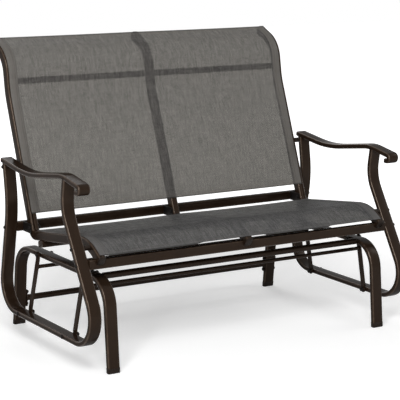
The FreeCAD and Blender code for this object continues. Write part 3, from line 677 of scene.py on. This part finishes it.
# Swings
def link_shape(sign, y):
    """A cranked flat link: round ends with holes, bent at two places, with eased edges."""
    half_wide = 10.0
    end = 11.0
    reach = 12.0
    soft = 0.7
    middle = LINK_THICK / 2
    low_x, top_x = sign * (LINK_LOW_IN + middle), sign * (LINK_TOP_IN + middle)
    line = [(low_x, PIVOT_LOW - end, 0), (low_x, CRANK_LOW, 60),
            (top_x, CRANK_HIGH, 60), (top_x, PIVOT_TOP + end, 0)]
    places = trace(line, 2.0, 8.0)
    total = places[-1][2]

    def at(s, across, out):
        for (p, h, d), (q, g, e) in zip(places[:-1], places[1:]):
            if s <= e + 1e-6:
                t = (s - d) / (e - d)
                break
        heading = h.lerp(g, t).normalized()
        place = p.lerp(q, t)
        side = Vector((heading.y, -heading.x))
        return spot(place.x + side.x * out, y + across, place.y + side.y * out)

    corner = math.atan2(half_wide, reach)
    swing = math.asin(half_wide / end)
    angles = sorted({round(a, 6) for a in
                     [math.radians(15 * k) for k in range(-11, 13)] + [corner, -corner, swing, -swing]})

    def outer(angle):
        c, s = math.cos(angle), abs(math.sin(angle))
        if c <= math.cos(swing) + 1e-9:
            return end
        return min(reach / c, half_wide / max(s, 1e-6))

    outline = [(outer(a) * math.cos(a), outer(a) * math.sin(a)) for a in angles]
    hole = [(BUSH_OUTER * math.cos(a), BUSH_OUTER * math.sin(a)) for a in angles]
    shape = Shape()
    for base_s, flip in ((end, 1), (total - end, -1)):
        rows = []
        for ring, grow, out in ((hole, 0, -middle), (outline, -soft, -middle), (outline, 0, soft - middle),
                                (outline, 0, middle - soft), (outline, -soft, middle), (hole, 0, middle)):
            row = []
            for s, w in ring:
                long = math.hypot(s, w)
                ease = 1 + grow / long if s < reach - 0.5 else 1.0
                wide = w * (1 + grow / half_wide) if s >= reach - 0.5 else w * ease
                row.append(at(base_s + flip * (s * ease), wide, out))
            rows.append(row)
        rows.append(rows[0])
        shape.rings(rows, caps=False)
    inner_wide, inner_out = half_wide - soft, middle - soft
    cross = [(-inner_wide, -middle), (inner_wide, -middle), (half_wide, -inner_out), (half_wide, inner_out),
             (inner_wide, middle), (-inner_wide, middle), (-half_wide, inner_out), (-half_wide, -inner_out)]
    stops = [end + reach] + [d for _, _, d in places if end + reach + 1 < d < total - end - reach - 1]
    stops.append(total - end - reach)
    shape.rings([[at(s, w, o) for w, o in cross] for s in stops], caps=False)
    return shape


def bush_shape():
    """A plastic bush with a flange on each side of its link, along Z."""
    high = LINK_THICK + 2 * BUSH_FLANGE
    half = [(BUSH_BORE, 0.0), (BUSH_RIM - 0.4, 0.0), (BUSH_RIM, 0.4), (BUSH_RIM, BUSH_FLANGE - 0.4),
            (BUSH_RIM - 0.4, BUSH_FLANGE), (BUSH_OUTER, BUSH_FLANGE)]
    return turned(half + [(r, high - z) for r, z in reversed(half)] + half[:1], 32, caps=False)


for place_name, y in PIVOTS.items():
    body = place_name + "_swing"
    bushes = Shape()
    for side, sign in SIDES.items():
        make("%s_link_plate_%s" % (place_name, side), link_shape(sign, y), BROWN, body,
             ["%s_link_%s" % (place_name, side)])
        bushes.add(bush_shape(), facing(sign * (HOOP_OUTER + BUSH_GAP), y, PIVOT_TOP, sign))
        bushes.add(bush_shape(), facing(sign * (LOOP_INNER - BUSH_GAP), y, PIVOT_LOW, -sign))
    make(place_name + "_bush_set", bushes, PLASTIC, body, [place_name + "_bushes"])
    tie = round_bar(TIE_BAR, LINK_TOP_IN + 3.0, y, TIE_HIGH)
    for sign in SIDES.values():
        tie.add(collar(sign * (LINK_TOP_IN + 1.4), y, TIE_HIGH, TIE_BAR, 1.4, 28))
    make(place_name + "_tie_rod", tie, BROWN, body, [place_name + "_tie_bar"])


# Seat frame: armrests, loops and crossbars
def plugs_of(corners, x, ring_size, thick, bulge, round_off):
    """A rounded plug in each end of a tube."""
    wide, deep, radius = ring_size
    profile = [(-0.8, -2.2), (-0.8, -0.3), (-0.3, 0.0), (0.5, 0.0)]
    for k in range(1, 7):
        angle = math.radians(90 * k / 6)
        profile.append((0.5 + (thick - 0.5) * math.sin(angle), -bulge * (1 - math.cos(angle))))
    shape = Shape()
    for line, turn in ((corners, -1), (list(reversed(corners)), 1)):
        first = Vector(line[0][:2])
        out = (first - Vector(line[1][:2])).normalized()
        left = Vector((-out.y, out.x)) * turn
        rings = []
        for away, ease in profile:
            soft = radius + ease * 0.9 + round_off * max(0.0, away - 0.5)
            ring = section(wide + 2 * ease, deep + 2 * ease, max(0.4, soft), 5)
            y, z = first.x + out.x * away, first.y + out.y * away
            rings.append([spot(x + u, y + left.x * v, z + left.y * v) for u, v, _ in ring])
        shape.rings(rings)
    return shape


arm_path = offset_corners(ARM_LINE, TUBE[1] / 2)
loop_path = offset_corners(LOOP_LINE, TUBE[1] / 2)
plugs = Shape()
for side, sign in SIDES.items():
    x = sign * LOOP_X
    arm = swept(arm_path, x, section(*TUBE), 2.0, 60.0)
    make("armrest_tube_" + side, arm, BROWN, "seat_frame", ["armrest_" + side])
    plugs.add(plugs_of(arm_path, x, TUBE, 3.0, 3.2, 0.5))
    loop = swept(loop_path, x, section(*TUBE), 2.5, 100.0)
    loop.add(tube_end_bead(x, loop_path))
    loop.add(tube_end_bead(x, loop_path[::-1]))
    make("loop_tube_" + side, loop, BROWN, "seat_frame", ["arm_loop_" + side])
make("armrest_plug_set", plugs, PLASTIC, "seat_frame", ["armrest_plugs"])


def box_bar(half, y, z, ring_size, tilt=0.0):
    """A box tube along X. The wide side of its section is vertical at no tilt."""
    t = math.radians(tilt)
    up = Vector((-math.sin(t), math.cos(t)))
    out = Vector((-math.cos(t), -math.sin(t)))
    ring = section(*ring_size)
    rings = []
    for x, ease in ((-half, -0.4), (-half + 0.4, 0.0), (half - 0.4, 0.0), (half, -0.4)):
        k = 1 + 2 * ease / ring_size[0]
        m = 1 + 2 * ease / ring_size[1]
        rings.append([spot(x, y + up.x * u * k + out.x * v * m, z + up.y * u * k + out.y * v * m)
                      for u, v, _ in ring])
    return Shape().rings(rings, [w for _, _, w in ring])


def along_seat(first, y):
    """The corner that cuts one straight stretch of the seat's line at a place from front to back."""
    a = SEAT_LINE[first]
    b = SEAT_LINE[first + 1]
    return (y, a[1] + (b[1] - a[1]) * (y - a[0]) / (b[0] - a[0]), 0)


SLOPE = math.atan2(SEAT_LINE[1][1] - SEAT_LINE[2][1], SEAT_LINE[2][0] - SEAT_LINE[1][0])
under = along_seat(1, REAR_BAR_Y)
rear_seat_bar = box_bar(RAIL_OUTER, under[0] - REAR_BAR_DROP * math.sin(SLOPE),
                        under[1] - REAR_BAR_DROP * math.cos(SLOPE), BAR, -90.0 - math.degrees(SLOPE))
upper_back_bar = box_bar(RAIL_INNER + 1.0, *UPPER_BAR, STAY, UPPER_BAR_TILT)
make("lower_back_bar", box_bar(LOOP_INNER, *BACK_BAR, BAR), BROWN, "seat_frame", ["lower_back_crossbar"])
make("front_seat_bar", box_bar(LOOP_INNER, *FRONT_BAR, BAR), BROWN, "seat_frame", ["front_seat_crossbar"])
make("upper_back_bar", upper_back_bar, BROWN, "seat_frame", ["upper_back_crossbar"])
make("rear_seat_bar", rear_seat_bar, BROWN, "seat_frame", ["rear_seat_crossbar"])

# Sling rails
rail_path = offset_corners(SEAT_LINE, -RAIL[1] / 2)


def rail_ring(sign):
    """The rail's section, with the groove on its seat side where it has one."""
    ring = section(*RAIL)
    if not sign:
        return ring
    centre = sign * (GROOVE_X - RAIL_X)
    top = RAIL[1] / 2
    half = [(GROOVE_HALF + 0.5, 0.0, 0.6), (GROOVE_HALF, -0.5, 0.0), (GROOVE_HALF, -GROOVE_DEEP, 0.0)]
    slot = half + [(-u, v, w) for u, v, w in reversed(half)]
    at = len(ring) // 2
    return ring[:at] + [(centre + u, top + v, w) for u, v, w in slot] + ring[at:]


rail_caps = Shape()
for tag, (x, _) in SADDLES.items():
    tube = swept(rail_path, x, rail_ring(SIDES.get(tag, 0)), 2.5, 100.0)
    make("rail_tube_" + tag, tube, BROWN, "seat_frame", ["sling_rail_" + tag])
    rail_caps.add(plugs_of(rail_path, x, RAIL, 4.0, 4.5, 1.4))
make("rail_cap_set", rail_caps, PLASTIC, "seat_frame", ["rail_end_caps"])


def saddle_shape(x):
    """A bent strap: two cheeks beside the rail and a web on the crossbar."""
    inner_half = RAIL[0] / 2
    outer_half = inner_half + SADDLE_THICK
    back = BACK_BAR[0] - BAR[1] / 2
    front = 166.0
    web = back - SADDLE_THICK
    line_out = rounded([(outer_half, front), (outer_half, back), (-outer_half, back), (-outer_half, front)],
                       4.5, 6)
    line_in = rounded([(inner_half, front), (inner_half, web), (-inner_half, web), (-inner_half, front)],
                      1.6, 6)
    rings = []
    for z, ease in ((333.0, 0.5), (333.5, 0.0), (362.5, 0.0), (363.0, 0.5)):
        ring = [(u - math.copysign(ease, u), v - (ease if v > back - 1 else 0)) for u, v in line_out]
        ring += [(u + math.copysign(ease, u) * 0.6, v + (ease * 0.6 if v > back - 6 else 0))
                 for u, v in reversed(line_in)]
        rings.append([spot(x + u, v, z) for u, v in ring])
    return Shape().rings(rings)


saddles = Shape()
spacers = Shape()
for x, _ in SADDLES.values():
    saddles.add(saddle_shape(x))
span = LOOP_INNER - RAIL_OUTER
spacer = turned([(3.1, 0.0), (7.2, 0.0), (8.0, 0.8), (8.0, span - 0.8), (7.2, span), (3.1, span),
                 (3.1, 0.0)], 32, caps=False)
for x, y, z, s in each_side(RAIL_OUTER, (TOP_TIE, FRONT_TIE)):
    spacers.add(spacer, facing(x, y, z, s))
make("saddle_set", saddles, BRACKET, "seat_frame", ["rail_saddles"])
make("spacer_set", spacers, PLASTIC, "seat_frame", ["rail_spacers"])

# Slings
BACK_SLING = [along_seat(2, 177.4)] + SEAT_LINE[3:5] + [along_seat(4, 434.0)]
SEAT_SLING = [along_seat(0, -257.0), SEAT_LINE[1], along_seat(1, 146.0)]
# How far a sling sags between its rails, and what share of that is left at its first and its last end
BACK_SAG = (2.6, (0.6, 0.3))
SEAT_SAG = (3.4, (0.1, 0.7))
SAG_FROM = 14.0
SAG_TO = 502.0
HEM = 26.0
HEM_THICK = 0.5
END_HEM = 12.5
END_HEM_SHADE = 0.45
# Where the seat's front edge hangs, from x to x, how deep, and over how much of x it gets there
DROOPS = [(-515.0, -168.0), (50.0, 318.0)]
DROOP_DEEP = 4.4
DROOP_RUN = 18.0
CLOTH_THICK = 0.3
CLOTH_RISE = 0.1
# The sheet's side from the bottom of its lip in the groove to where it lies flat: (x, height)
LIP = [(518.9, -5.2), (518.9, -2.0), (518.75, -1.0), (518.3, -0.35), (517.6, -0.08), (516.6, 0.0)]
FLAT_X = LIP[-1][0]
BACK_CLOTH = sling_cloth("back_mesh_cloth", (srgb(66, 65, 63), srgb(81, 79, 77), srgb(97, 95, 92)),
                         0.94, srgb(104, 100, 95), 0.06, trace(BACK_SLING)[-1][2] * MM, (0.0042, 0.006))
# The seat is the same cloth as the back; its darker tones and darker hem are painted shade
SEAT_CLOTH_SHADED = sling_cloth("seat_mesh_cloth_shaded", (srgb(60, 60, 60), srgb(75, 75, 75), srgb(91, 90, 90)),
                         0.55, srgb(88, 86, 85), 0.04, trace(SEAT_SLING)[-1][2] * MM, (0.0006, 0.0028))


def sag_at(x, s, total, deep, ends):
    """How far the cloth hangs between the rails, less towards its two ends."""
    reach = abs(x)
    if reach < SAG_FROM or reach > SAG_TO:
        return 0.0
    t = (reach - SAG_FROM) / (SAG_TO - SAG_FROM)
    across = math.sin(math.pi * t) ** 0.8
    low, high = ends
    k = s / total
    along = low * (1 - k) ** 6 + high * k ** 6 + (1 - (1 - k) ** 6 - k ** 6)
    return deep * across * along


def droop_at(x, droops):
    """How far the cloth's first edge hangs past its line."""
    deepest = 0.0
    for low, high in droops:
        inside = max(0.0, min(1.0, (x - low) / DROOP_RUN, (high - x) / DROOP_RUN))
        deepest = max(deepest, DROOP_DEEP * inside * inside * (3 - 2 * inside))
    return deepest


def sling_sheet(name, node, cloth, corners, sag, droops):
    """A sheet with two skins and a lip into each groove. Gives it and its flat size in metres."""
    rows = trace(corners, 2.5, 12.0)
    total = rows[-1][2]
    hem_in = FLAT_X - HEM
    spread = 72
    middle = [-FLAT_X + HEM * 0.5, -hem_in - 0.6, -hem_in + 0.6]
    middle += [-hem_in + 0.6 + (2 * hem_in - 1.2) * k / spread for k in range(1, spread)]
    middle += [hem_in - 0.6, hem_in + 0.6, FLAT_X - HEM * 0.5]
    edge = [(-x, d) for x, d in LIP] + [(x, 0.0) for x in middle] + list(reversed(LIP))
    widths = [0.0]
    for (x, d), (next_x, next_d) in zip(edge[:-1], edge[1:]):
        widths.append(widths[-1] + math.hypot(next_x - x, next_d - d))
    shape = Shape()
    hems = []
    uvs = []
    for layer in (1, 0):
        for place, heading, s in rows:
            left = Vector((-heading.y, heading.x))
            for (c, d), w in zip(edge, widths):
                hem = 1.0 if abs(c) > hem_in else END_HEM_SHADE if s < END_HEM or s > total - END_HEM else 0.0
                rise = CLOTH_RISE + d - sag_at(c, s, total, *sag)
                x = c
                if layer:
                    rise += CLOTH_THICK + (HEM_THICK if hem and d == 0.0 else 0.0)
                elif d < 0:
                    x = c - math.copysign(min(1.0, -d), c) * CLOTH_THICK
                more = -droop_at(c, droops) if s == 0.0 else 0.0
                shape.points.append(spot(x, place.x + left.x * rise + heading.x * more,
                                         place.y + left.y * rise + heading.y * more))
                hems.append(hem)
                uvs.append((w * MM, (s + more) * MM))
    shape.edge_wear_and_highlight = [0.0] * len(shape.points)
    faces = shape.faces
    count = len(edge)
    n = len(rows)
    half = n * count
    for r in range(n - 1):
        for i in range(count - 1):
            a = r * count + i
            faces.append((a, a + 1, a + count + 1, a + count))
            b = half + a
            faces.append((b, b + count, b + count + 1, b + 1))
    for r in range(n - 1):
        for i in (0, count - 1):
            a = r * count + i
            face = (a, a + count, half + a + count, half + a)
            faces.append(face if i == 0 else tuple(reversed(face)))
    for i in range(count - 1):
        for r in (0, n - 1):
            a = r * count + i
            face = (a + 1, a, half + a, half + a + 1)
            faces.append(face if r == 0 else tuple(reversed(face)))
    item = make(name, shape, (cloth, "sling_mesh"), "seat_frame", [node], 50.0)
    mesh = item.data
    mesh.attributes.new("hem", "FLOAT", "POINT").data.foreach_set("value", hems)
    layer_uv = mesh.uv_layers.new(name="cloth")
    for loop in mesh.loops:
        layer_uv.data[loop.index].uv = uvs[loop.vertex_index]
    return item, (widths[-1] * MM, total * MM)


STITCH_PITCH = 3.6
STITCH_LONG = 2.9
# The stitch rows: how far they lie outside the side hem's inner edge, and how far from the cloth's ends
SIDE_ROWS = (2.0, 8.0)
END_ROW = 10.0


def seam(corners, sag):
    """Two rows of lock stitches along each side hem, and one row along each end."""
    shape = Shape()
    rows = trace(corners, 2.5, 12.0)
    total = rows[-1][2]
    top = CLOTH_RISE + CLOTH_THICK + HEM_THICK

    def at(x, s):
        for (p, h, d), (q, g, e) in zip(rows[:-1], rows[1:]):
            if s <= e:
                break
        t = (s - d) / (e - d)
        place = p.lerp(q, t)
        heading = h.lerp(g, t).normalized()
        left = Vector((-heading.y, heading.x))
        rise = top - sag_at(x, s, total, *sag)
        return spot(x, place.x + left.x * rise, place.y + left.y * rise), left

    def stitch(start, end):
        (a, out), (b, _) = at(*start), at(*end)
        along = (b - a).normalized()
        up = Vector((0.0, out.x, out.y))
        side = along.cross(up)
        rings = []
        for t, lift, size in ((0.0, -0.3, 0.5), (0.2, 0.1, 0.9), (0.8, 0.1, 0.9), (1.0, -0.3, 0.5)):
            centre = a.lerp(b, t) + up * lift * MM
            rings.append([centre + (side * math.cos(math.pi * k / 3) * 0.45
                                    + up * math.sin(math.pi * k / 3) * 0.22) * size * MM for k in range(6)])
        shape.rings(rings)
    for sign in SIDES.values():
        for row in SIDE_ROWS:
            x = sign * (FLAT_X - HEM + row)
            for k in range(int((total - 8.0) / STITCH_PITCH)):
                s = 4.0 + STITCH_PITCH * k
                stitch((x, s), (x, s + STITCH_LONG))
    for s in (END_ROW, total - END_ROW):
        for k in range(int((2 * (FLAT_X - HEM)) / STITCH_PITCH)):
            x = -FLAT_X + HEM + STITCH_PITCH * k
            stitch((x, s), (x + STITCH_LONG, s))
    return shape


back_cloth, back_flat = sling_sheet("back_sling_sheet", "back_sling", BACK_CLOTH, BACK_SLING, BACK_SAG, [])
seat_cloth, seat_flat = sling_sheet("seat_sling_sheet", "seat_sling", SEAT_CLOTH_SHADED, SEAT_SLING, SEAT_SAG,
                                    DROOPS)
make("back_sling_stitches", seam(BACK_SLING, BACK_SAG), THREAD, "seat_frame")
make("seat_sling_stitches", seam(SEAT_SLING, SEAT_SAG), THREAD, "seat_frame")
SPLINE_RADIUS = 1.4
SPLINE_DEEP = 7.0


def spline_rods(corners):
    """The rods that lock a sling's lips in the two grooves."""
    rods = Shape()
    low = offset_corners(corners, -SPLINE_DEEP)
    angles = [2 * math.pi * k / 12 for k in range(12)]
    ring = [(SPLINE_RADIUS * math.cos(a), SPLINE_RADIUS * math.sin(a), 0.0) for a in angles]
    for sign in SIDES.values():
        rods.add(swept(low, sign * GROOVE_X, ring, 4.0, 100.0))
    return rods


make("back_spline_rods", spline_rods(BACK_SLING), SPLINE, "seat_frame", ["back_splines"])
make("seat_spline_rods", spline_rods(SEAT_SLING), SPLINE, "seat_frame", ["seat_splines"])


# Camera, as the photograph was taken: focal length and width in the photograph's pixels, angles in degrees
PHOTO_FOCAL = 1570.68
PHOTO_WIDE = 400.0
SENSOR_WIDE = 36.0
CAMERA_AT = (-2669.198, -4115.716, 1392.059)
AZIMUTH, ELEVATION, ROLL = 32.83, 11.238, 0.735


def camera():
    data = bpy.data.cameras.new("photo_camera")
    data.sensor_width = SENSOR_WIDE
    data.lens = PHOTO_FOCAL / PHOTO_WIDE * SENSOR_WIDE
    data.clip_start = 0.1
    data.clip_end = 60.0
    item = bpy.data.objects.new("photo_camera", data)
    bpy.context.scene.collection.objects.link(item)
    az, el, ro = math.radians(AZIMUTH), math.radians(ELEVATION), math.radians(ROLL)
    ahead = Vector((math.sin(az) * math.cos(el), math.cos(az) * math.cos(el), -math.sin(el)))
    level = Vector((math.cos(az), -math.sin(az), 0.0))
    above = level.cross(ahead)
    right = level * math.cos(ro) + above * math.sin(ro)
    up = above * math.cos(ro) - level * math.sin(ro)
    turn = Matrix((right, up, -ahead)).transposed().to_4x4()
    item.matrix_world = Matrix.Translation(spot(*CAMERA_AT)) @ turn
    bpy.context.scene.camera = item


camera()


# Floor, light and background. A lamp is (name, place, target, size, watts), in metres
LAMPS = [
    ("key_softbox", (-2.2, -2.8, 3.3), (0, 0, 0.45), (2.2, 2.0), 140.0),
    ("edge_strip", (-3.1, -2.9, 1.15), (0, 0, 0.4), (0.25, 1.9), 40.0),
    ("right_softbox", (3.2, -1.0, 2.5), (0, 0, 0.45), (1.6, 1.4), 22.0),
    ("rear_softbox", (0.8, 3.4, 2.8), (0, 0, 0.45), (2.0, 1.6), 30.0),
]
WORLD_LIGHT = 0.24
FLOOR_HALF = 9.0
# The floor's own glow near the bench and away from it, and where it starts and ends to rise, in metres
GLOW = (0.4, 1.0)
GLOW_RISE = (0.9, 3.0)

for name, place, target, lamp_size, power in LAMPS:
    data = bpy.data.lights.new(name, "AREA")
    data.shape = "RECTANGLE"
    data.size, data.size_y = lamp_size
    data.energy = power
    item = bpy.data.objects.new(name, data)
    bpy.context.scene.collection.objects.link(item)
    item.location = place
    item.rotation_mode = "QUATERNION"
    item.rotation_quaternion = (Vector(target) - Vector(place)).to_track_quat("-Z", "Y")

world = bpy.data.worlds.new("studio")
bpy.context.scene.world = world
sky = Tree(world)
sky.nodes.clear()
plain = sky.node("ShaderNodeBackground", {"Color": (1, 1, 1, 1), "Strength": WORLD_LIGHT})
white = sky.node("ShaderNodeBackground", {"Color": (1, 1, 1, 1), "Strength": 1.0})
choose = sky.node("ShaderNodeMixShader", {0: sky.seen(), 1: plain.outputs[0], 2: white.outputs[0]})
sky.node("ShaderNodeOutputWorld", {"Surface": choose.outputs[0]})


def floor_material():
    """Pale and matt. Away from the bench it fades into the white background."""
    tree = Tree(bpy.data.materials.new("pale_floor"))
    at = tree.place()
    tone = tree.ramp(tree.noise(at, 3.0, 3.0), [(0.3, 0.78), (0.7, 0.80)])
    tree.set(Base_Color=tone, Roughness=0.85, Specular_IOR_Level=0.1)
    far = tree.node("ShaderNodeVectorMath", {0: at}, operation="LENGTH").outputs["Value"]
    limits = {"From Min": GLOW_RISE[0], "From Max": GLOW_RISE[1], "To Min": GLOW[0], "To Max": GLOW[1]}
    fade = tree.node("ShaderNodeMapRange", {"Value": far, **limits}, interpolation_type="SMOOTHSTEP")
    strength = tree.math("MULTIPLY", tree.seen(), fade.outputs["Result"])
    glow = tree.node("ShaderNodeEmission", {"Strength": strength})
    total = tree.node("ShaderNodeAddShader", {0: tree.shader.outputs[0], 1: glow.outputs[0]})
    tree.feed(tree.output.inputs["Surface"], total.outputs[0])
    return tree.owner


floor_mesh = bpy.data.meshes.new("floor")
floor_mesh.from_pydata([(x * FLOOR_HALF, y * FLOOR_HALF, 0.0)
                        for x, y in ((-1, -1), (1, -1), (1, 1), (-1, 1))], [], [(0, 1, 2, 3)])
floor_mesh.materials.append(floor_material())
floor = bpy.data.objects.new("floor", floor_mesh)
bpy.context.scene.collection.objects.link(floor)

bpy.context.scene.view_settings.view_transform = "Standard"
